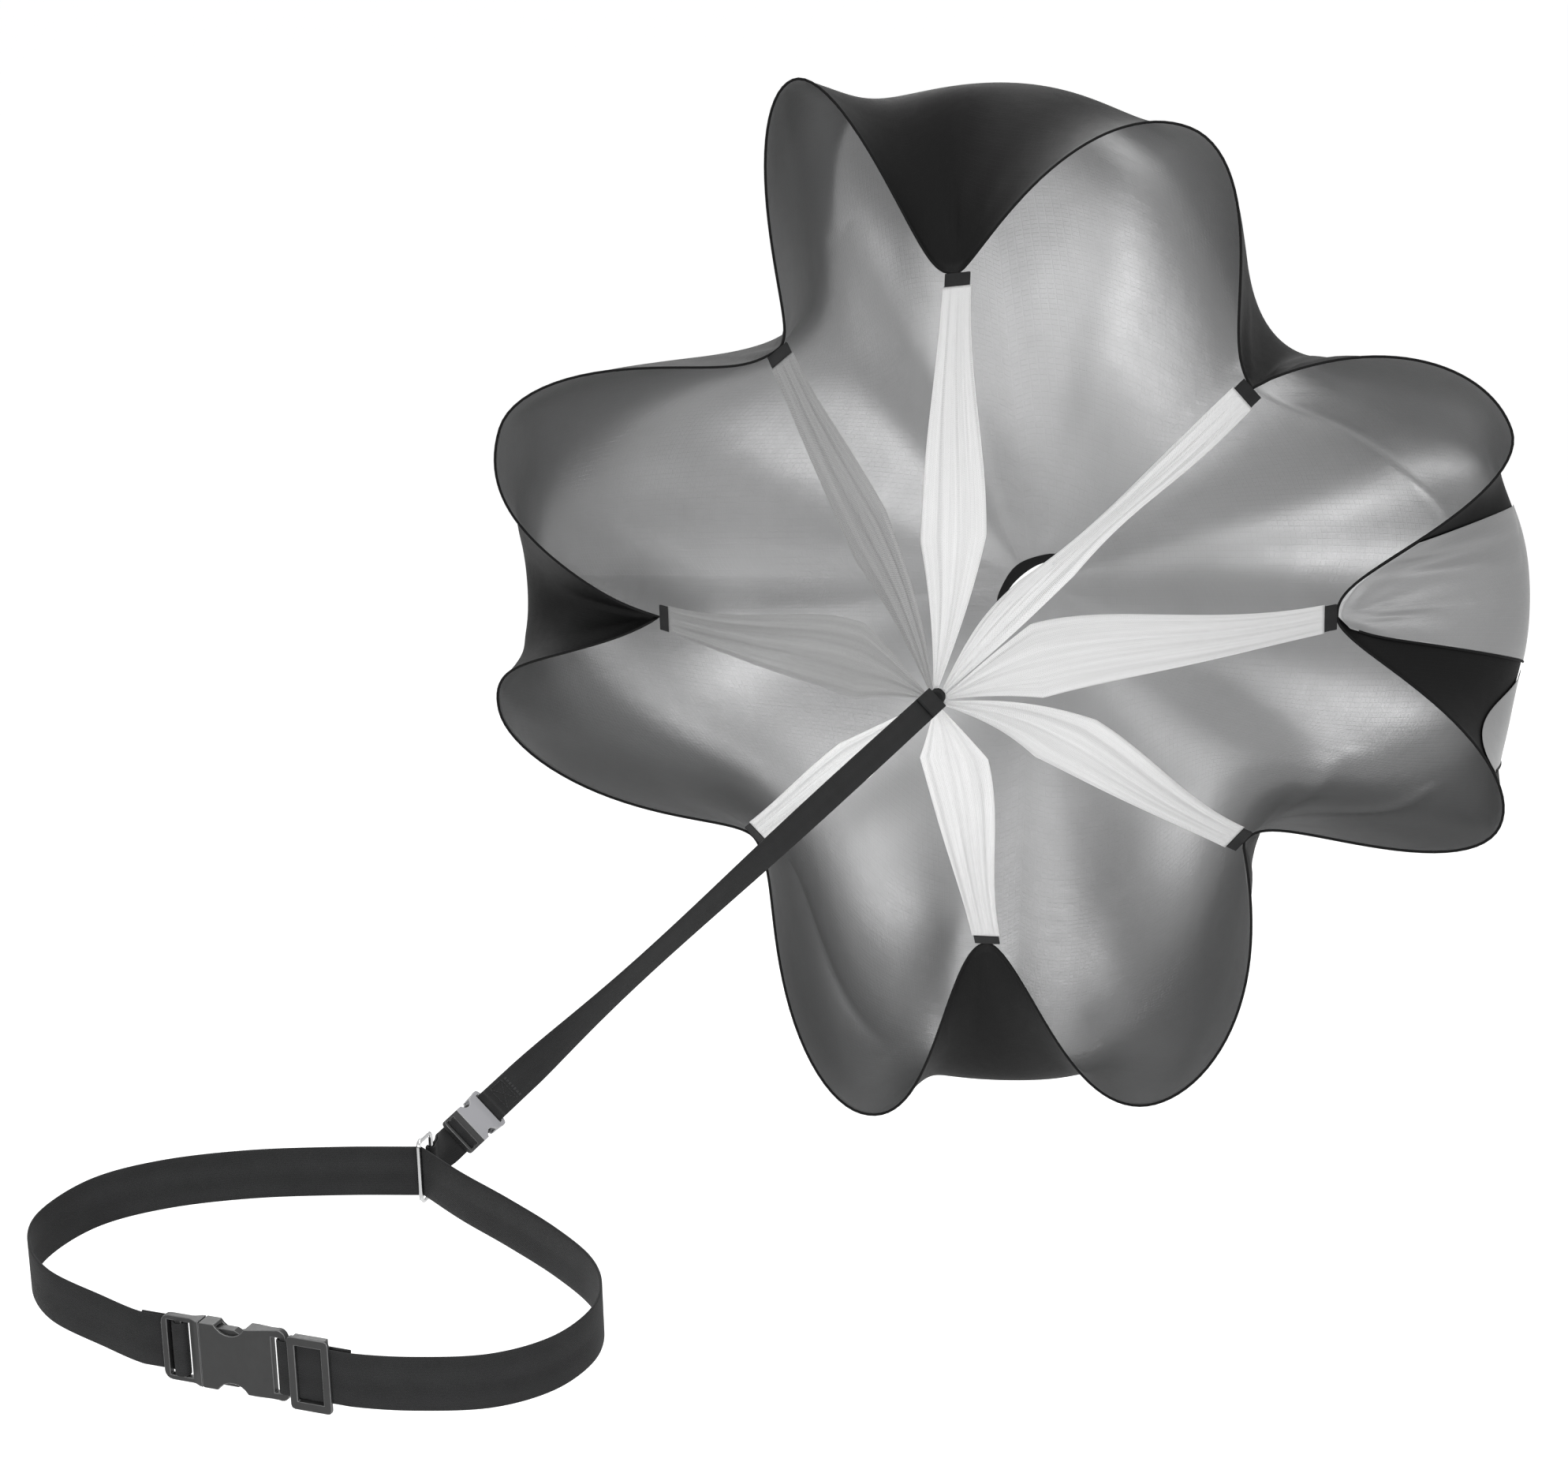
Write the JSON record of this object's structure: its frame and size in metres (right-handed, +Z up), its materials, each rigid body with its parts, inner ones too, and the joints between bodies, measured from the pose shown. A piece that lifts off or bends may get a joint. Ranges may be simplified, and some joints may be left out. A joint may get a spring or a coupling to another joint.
{
  "type": "speed parachute",
  "caption": "Resistance parachute for sprint training: square canopy in flight, mesh strips, webbing tether and waist belt with side-release buckles.",
  "frame": {"origin": "middle of the closed belt loop, level with the middle of its webbing", "axes": "+Z up; the wearer faces -Y; the tether and the canopy stream out behind, towards +Y"},
  "size_m": [1.2472, 2.5528, 1.2543],
  "materials": {
    "webbing": "woven black nylon",
    "coated_cloth": "black nylon with a silver-grey coating inside",
    "white_net": "white mesh",
    "dark_plastic": "moulded, satin",
    "grey_plastic": "moulded, satin",
    "ring_wire": "polished"
  },
  "bodies": {
    "belt": {"belt_webbing": "webbing", "waist_buckle_body": "dark_plastic", "waist_buckle_clip": "dark_plastic"},
    "tri_glide": {"tri_glide": "dark_plastic"},
    "waist_prong_upper": {"waist_buckle_prong_upper": "dark_plastic"},
    "waist_prong_lower": {"waist_buckle_prong_lower": "dark_plastic"},
    "ring": {"belt_ring": "ring_wire"},
    "pigtail": {"pigtail_webbing": "webbing", "tether_buckle_clip": "dark_plastic", "tether_buckle_body": "grey_plastic"},
    "tether_prong_upper": {"tether_buckle_prong_upper": "dark_plastic"},
    "tether_prong_lower": {"tether_buckle_prong_lower": "dark_plastic"},
    "tether": {"tether_webbing": "webbing", "gather_core": "webbing", "net_strip_1": "white_net", "net_strip_2": "white_net", "net_strip_3": "white_net", "net_strip_4": "white_net", "net_strip_5": "white_net", "net_strip_6": "white_net", "net_strip_7": "white_net", "net_strip_8": "white_net", "rim_tab_1": "webbing", "rim_tab_2": "webbing", "rim_tab_3": "webbing", "rim_tab_4": "webbing", "rim_tab_5": "webbing", "rim_tab_6": "webbing", "rim_tab_7": "webbing", "rim_tab_8": "webbing", "canopy_cloth": "coated_cloth", "vent_binding": "webbing"}
  },
  "joints": [
    {"name": "tri_glide_slide", "type": "slide", "parent": "belt", "child": "tri_glide", "axis": [0.9877, -0.1564, 0], "range_m": [-0.003, 0.012]},
    {"name": "waist_prong_upper_press", "type": "hinge", "parent": "belt", "child": "waist_prong_upper", "pos_m": [-0.03479, -0.13396, 0.01443], "axis": [0.1564, 0.9877, 0], "range_deg": [0, 12], "stiffness_Nm_per_rad": 0.8},
    {"name": "waist_prong_lower_press", "type": "hinge", "parent": "belt", "child": "waist_prong_lower", "pos_m": [-0.03479, -0.13396, -0.01443], "axis": [-0.1564, -0.9877, 0], "range_deg": [0, 12], "stiffness_Nm_per_rad": 0.8},
    {"name": "ring_swing", "type": "hinge", "parent": "belt", "child": "ring", "pos_m": [0.01505, 0.161, 0], "axis": [0, 0, 1], "range_deg": [-35, 35], "stiffness_Nm_per_rad": 12},
    {"name": "pigtail_swing", "type": "hinge", "parent": "ring", "child": "pigtail", "pos_m": [0.01718, 0.18089, 0], "axis": [0, 0, 1], "range_deg": [-55, 55], "stiffness_Nm_per_rad": 12},
    {"name": "tether_prong_upper_press", "type": "hinge", "parent": "pigtail", "child": "tether_prong_upper", "pos_m": [0.01933, 0.23646, 0.00948], "axis": [-0.7031, 0.0754, -0.7071], "range_deg": [0, 12], "stiffness_Nm_per_rad": 0.4},
    {"name": "tether_prong_lower_press", "type": "hinge", "parent": "pigtail", "child": "tether_prong_lower", "pos_m": [0.03253, 0.23505, -0.00379], "axis": [0.7031, -0.0754, 0.7071], "range_deg": [0, 12], "stiffness_Nm_per_rad": 0.4},
    {"name": "tether_swing", "type": "hinge", "parent": "pigtail", "child": "tether", "pos_m": [0.0304, 0.2774, 0.00285], "axis": [-0.7031, 0.0754, 0.7071], "range_deg": [-45, 45], "stiffness_Nm_per_rad": 20, "springref_deg": -13.75}
  ]
}
